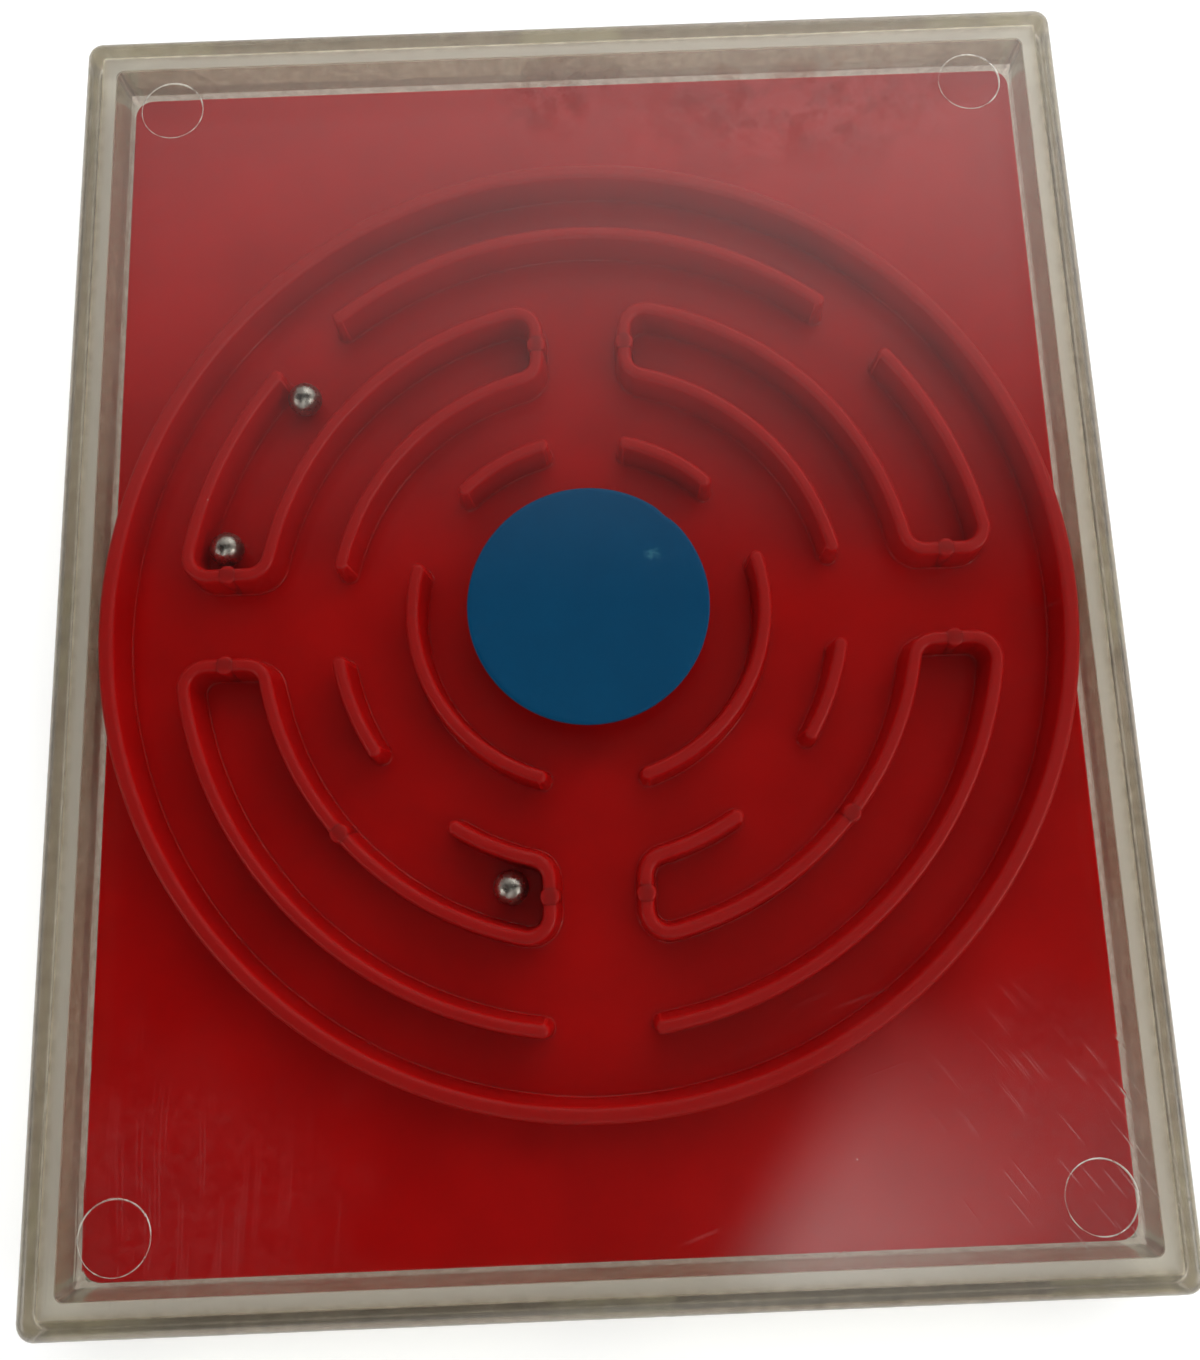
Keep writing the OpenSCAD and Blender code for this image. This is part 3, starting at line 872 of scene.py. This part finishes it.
def addFilm(bits, path, setup, rng):
    low, high = setup["seam"]
    near, far = setup["film"]
    thinSteps, least = setup["thinEnd"]
    keep, change = setup["wobble"]
    creepLow, creepWobble = setup["creepShare"]
    reachLow, reachGain = setup["reachShare"]
    wobble, rings = 0.0, []
    for k, ((x, y), n) in enumerate(path):
        end = min(k, len(path) - 1 - k) / thinSteps
        taper = min(1.0, least + (1 - least) * end)
        wobble = wobble * keep + rng.uniform(-change, change)
        top = high + setup["creep"] * taper * (creepLow + wobble * creepWobble)
        reach = setup["seamReach"] * min(1.0, reachLow + reachGain * end + wobble * reachGain)
        section = [(near, low), (reach, low), (reach, high), (far, high), (far, top), (near, top)]
        rings.append([(x + n[0] * d, y + n[1] * d, z) for d, z in section])
    bits.addCapped(rings)


def buildCement(setup):
    rng = random.Random(7)
    sides, corners = MeshBits(), MeshBits()
    for way in ("east", "north", "west", "south"):
        addFilm(sides, sidePath(setup, way), setup, rng)
    for first in (0, 90, 180, 270):
        addFilm(corners, cornerPath(setup, first), setup, rng)
    makePiece("sideCement", sides, driedCement, "case", ["side_cement"])
    makePiece("cornerCement", corners, driedCement, "case", ["corner_cement"])


buildCement(cement)
print("cement built")


# CAD nodes that stay: clear case and steel balls

def dressNode(name, material):
    mesh = cad[name].data
    mesh.materials.clear()
    mesh.materials.append(material)


dressNode("lid", lidClear)
dressNode("base_tray", trayClear)
for ball in ("steel_ball_1", "steel_ball_2", "steel_ball_3"):
    dressNode(ball, polishedSteel)
print("case and balls dressed")


# stage: pale floor, two side lamps, an overhead sheet and a soft surround

stageSetup = {
    "floorSize": 4.0, "floorDrop": 0.00005,    # metres
    "floorColour": (0.90, 0.90, 0.90, 1),
    "floorLift": (0.30, 0.75),            # lifts the floor to white where it is seen, near by and far off
    "floorReach": (0.15, 0.8),            # metres
    "lamps": (                            # way to the lamp, distance and size in metres, watts, in gloss
        ((-0.78, -0.37, 0.46), 0.75, 0.24, 0.4, True),
        ((0.83, -0.40, 0.50), 0.75, 0.34, 0.9, True),
        ((0.24, 0.38, 0.89), 0.20, 0.38, 0.30, False),    # overhead sheet
    ),
    "white": (1, 1, 1, 1),
}

# the surround's places are slopes: sideways over upwards, east in x and north in y
surround = {
    "leastUp": 0.08,
    "northGlow": 1.5, "northRise": (0.2, 0.85), "northAcross": (-0.8, 0.8, 0.4, 1.3),
    "sideGlow": 1.4, "sideFall": (-0.26, -0.05), "sideAcross": (0.12, 0.32, 1.0, 0.3),
    "lean": (0.26, 0.6), "leanEdge": (0.03, 0.12),    # pivot and slant of the side glow's edge
    "lowGlow": 0.5, "lowReach": (0.85, 1.5), "darkest": 0.01,
    "horizon": (0.1, 0.3),                # height where the white band ends
}


def makeFloor(setup):
    s, z = setup["floorSize"] / 2, -setup["floorDrop"]
    mesh = bpy.data.meshes.new("floor")
    mesh.from_pydata([(-s, -s, z), (s, -s, z), (s, s, z), (-s, s, z)], [], [(0, 1, 2, 3)])
    floor = bpy.data.objects.new("floor", mesh)
    scene.collection.objects.link(floor)
    material, tree = newMaterial("paleFloor")
    diffuse = addNode(tree, "ShaderNodeBsdfDiffuse", {"Color": setup["floorColour"]})
    rays = addNode(tree, "ShaderNodeLightPath").outputs
    seen = mathNode(tree, "MAXIMUM", rays["Is Camera Ray"], rays["Is Glossy Ray"])
    seen = mathNode(tree, "MAXIMUM", seen, rays["Is Transmission Ray"])
    far = vectorNode(tree, "LENGTH", addNode(tree, "ShaderNodeTexCoord").outputs["Object"])
    amount = rampNode(tree, far, *setup["floorReach"], *setup["floorLift"])
    lift = addNode(tree, "ShaderNodeEmission", {
        "Color": setup["white"], "Strength": mathNode(tree, "MULTIPLY", seen, amount)})
    both = addNode(tree, "ShaderNodeAddShader", {0: diffuse.outputs[0], 1: lift.outputs[0]})
    under = addNode(tree, "ShaderNodeNewGeometry").outputs["Backfacing"]
    seeThrough = addNode(tree, "ShaderNodeBsdfTransparent")
    mixed = addNode(tree, "ShaderNodeMixShader", {0: under, 1: both.outputs[0], 2: seeThrough.outputs[0]})
    mesh.materials.append(finishMaterial(material, tree, mixed))


def makeLamps(setup):
    for i, (towards, distance, size, watts, inGloss) in enumerate(setup["lamps"]):
        data = bpy.data.lights.new(f"softLamp{i + 1}", "AREA")
        data.shape = "DISK"
        data.size = size
        data.energy = watts
        lamp = bpy.data.objects.new(data.name, data)
        way = Vector(towards).normalized()
        lamp.location = way * distance
        lamp.rotation_euler = way.to_track_quat("Z", "Y").to_euler()
        lamp.visible_camera = False
        lamp.visible_glossy = lamp.visible_transmission = inGloss
        scene.collection.objects.link(lamp)


def makeSurround(setup, white):
    world = bpy.data.worlds.new("softSurround")
    scene.world = world
    world.use_nodes = True
    tree = world.node_tree
    tree.nodes.clear()
    x, y, z = splitNode(tree, addNode(tree, "ShaderNodeTexCoord").outputs["Generated"])
    up = mathNode(tree, "MAXIMUM", z, setup["leastUp"])
    qx, qy = mathNode(tree, "DIVIDE", x, up), mathNode(tree, "DIVIDE", y, up)
    north = mathNode(tree, "MULTIPLY", rampNode(tree, qy, *setup["northRise"], 0.0, setup["northGlow"]),
                     rampNode(tree, qx, *setup["northAcross"]))
    pivot, slant = setup["lean"]
    lean = mathNode(tree, "MULTIPLY", mathNode(tree, "ADD", qy, pivot), slant)
    lean = mathNode(tree, "SUBTRACT", qx, lean)
    side = mathNode(tree, "MULTIPLY", rampNode(tree, lean, *setup["leanEdge"]),
                    rampNode(tree, qy, *setup["sideFall"], setup["sideGlow"], 0.0))
    side = mathNode(tree, "MULTIPLY", side, rampNode(tree, qx, *setup["sideAcross"]))
    reach = mathNode(tree, "ADD", mathNode(tree, "MULTIPLY", qx, qx), mathNode(tree, "MULTIPLY", qy, qy))
    reach = mathNode(tree, "SQRT", reach)
    low = rampNode(tree, reach, *setup["lowReach"], setup["darkest"], setup["lowGlow"])
    horizon = rampNode(tree, z, *setup["horizon"], 1.0, 0.0)
    seen = addNode(tree, "ShaderNodeLightPath").outputs["Is Camera Ray"]    # white behind the part
    glow = north
    for other in (side, low, horizon, seen):
        glow = mathNode(tree, "MAXIMUM", glow, other)
    back = addNode(tree, "ShaderNodeBackground", {"Color": white, "Strength": glow})
    out = addNode(tree, "ShaderNodeOutputWorld")
    tree.links.new(back.outputs[0], out.inputs[0])


makeFloor(stageSetup)
makeLamps(stageSetup)
makeSurround(surround, stageSetup["white"])
print("stage built")
